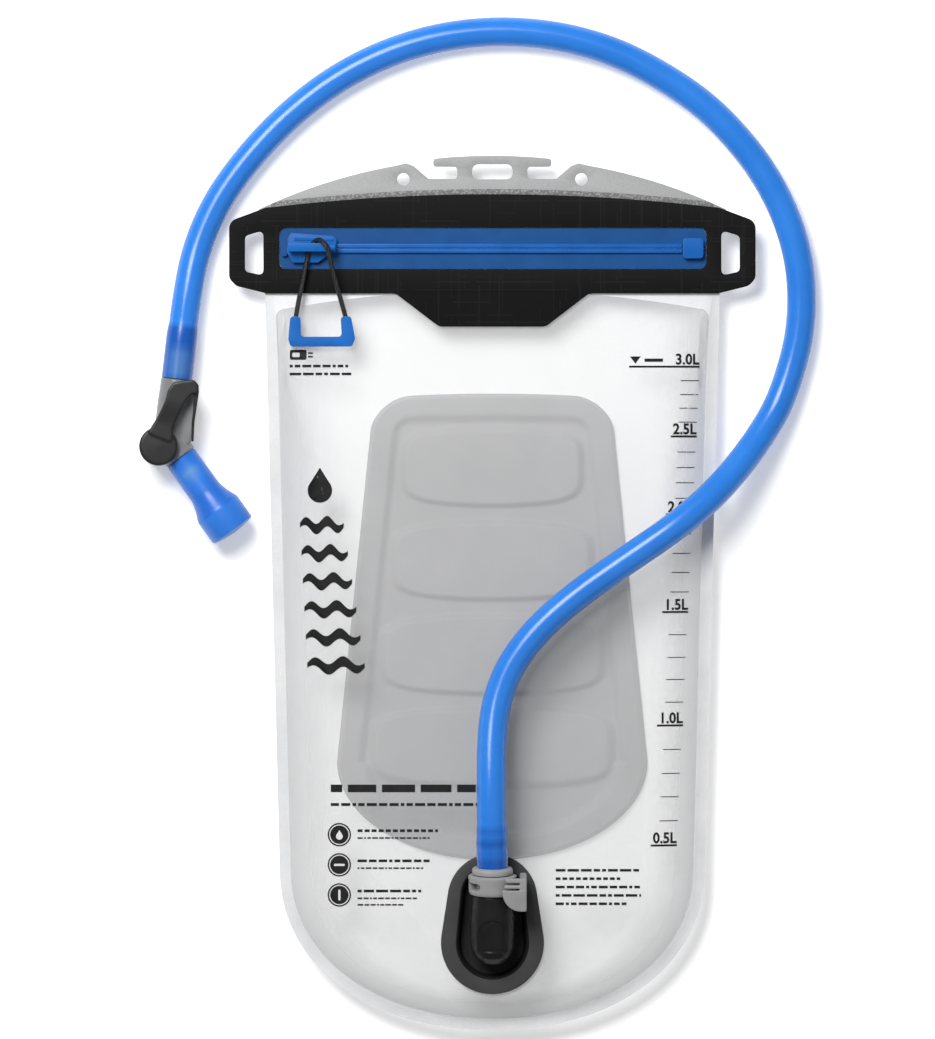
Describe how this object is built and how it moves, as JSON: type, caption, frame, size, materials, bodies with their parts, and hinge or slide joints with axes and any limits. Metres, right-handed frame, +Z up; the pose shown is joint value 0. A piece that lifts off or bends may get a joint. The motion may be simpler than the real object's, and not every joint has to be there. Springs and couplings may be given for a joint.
{
  "type": "hydration bladder",
  "caption": "Welded film water reservoir lying flat: zip mouth with slider and pull, hanger, moulded back panel, quick-release port, drink tube, shut-off valve and bite valve.",
  "frame": {"origin": "centre of the reservoir's outline, without the drink tube, on the surface that it lies on", "axes": "+X to the right seen from the printed front, +Y towards the hanger, +Z up, out of the printed front"},
  "size_m": [0.3239, 0.4853, 0.052],
  "materials": {
    "clear_film": "milky translucent film, satin",
    "back_grey": "moulded satin board",
    "panel_black": "coated ripstop fabric",
    "tape_blue": "coated zip tape",
    "zip_blue": "moulded satin",
    "hanger_grey": "frosted sheet",
    "port_grey": "soft moulded, matte",
    "elbow_black": "moulded satin",
    "fitting_grey": "moulded satin",
    "spring_steel": "drawn wire",
    "cord_black": "braided cord",
    "poppet_orange": "moulded",
    "seal_black": "moulded rubber",
    "tube_blue": "translucent satin",
    "valve_grey": "translucent moulded",
    "plug_white": "moulded",
    "lever_black": "fine textured",
    "bite_blue": "silicone, satin",
    "print_ink": "printed ink"
  },
  "bodies": {
    "reservoir": {"front_film": "clear_film", "rear_film": "clear_film", "back_panel": "back_grey", "zip_panel": "panel_black", "zip_tape_upper": "tape_blue", "zip_tape_lower": "tape_blue", "zip_rail_upper": "zip_blue", "zip_rail_lower": "zip_blue", "zip_end_stop": "zip_blue", "zip_start_stop": "zip_blue", "hanger_sheet": "hanger_grey", "port_flange": "port_grey", "port_elbow": "elbow_black", "coupling_collar": "fitting_grey", "button_spring": "spring_steel", "poppet_spring": "spring_steel"},
    "slider": {"slider_body": "zip_blue", "slider_bridge": "zip_blue"},
    "pull": {"pull_cord": "cord_black", "pull_grip": "zip_blue"},
    "button": {"release_button": "fitting_grey"},
    "poppet": {"poppet": "poppet_orange", "poppet_seal": "seal_black"},
    "hose": {"hose_connector": "fitting_grey", "connector_o_rings": "seal_black", "drink_tube": "tube_blue", "valve_body": "valve_grey"},
    "lever": {"valve_plug": "plug_white", "plug_o_rings": "seal_black", "shutoff_lever": "lever_black"},
    "bite": {"bite_valve": "bite_blue"}
  },
  "joints": [
    {"name": "zip_slide", "type": "slide", "parent": "reservoir", "child": "slider", "axis": [1, 0, 0], "range_m": [0, 0.165]},
    {"name": "pull_swing", "type": "hinge", "parent": "slider", "child": "pull", "pos_m": [-0.083, 0.1653, 0.0218], "axis": [-1, 0, 0], "range_deg": [0, 170]},
    {"name": "button_press", "type": "slide", "parent": "reservoir", "child": "button", "axis": [-1, 0, 0], "range_m": [0, 0.0012], "stiffness_N_per_m": 200, "springref_m": -0.001, "deforming": ["button_spring"]},
    {"name": "hose_pull_off", "type": "slide", "parent": "reservoir", "child": "hose", "axis": [0, 0.9903, 0.1392], "range_m": [0, 0.02]},
    {"name": "poppet_travel", "type": "slide", "parent": "reservoir", "child": "poppet", "axis": [0, 0.9903, 0.1392], "range_m": [0, 0.0035], "deforming": ["poppet_spring"]},
    {"name": "lever_turn", "type": "hinge", "parent": "hose", "child": "lever", "pos_m": [-0.1595, 0.0702, 0.0205], "axis": [0, 0, 1], "range_deg": [0, 90]},
    {"name": "bite_valve_twist", "type": "hinge", "parent": "hose", "child": "bite", "pos_m": [-0.1493, 0.0649, 0.0117], "axis": [0.5821, -0.8131, 0], "continuous": true}
  ],
  "couplings": [
    {"joint": "poppet_travel", "follows": "hose_pull_off", "ratio": 0.175}
  ]
}
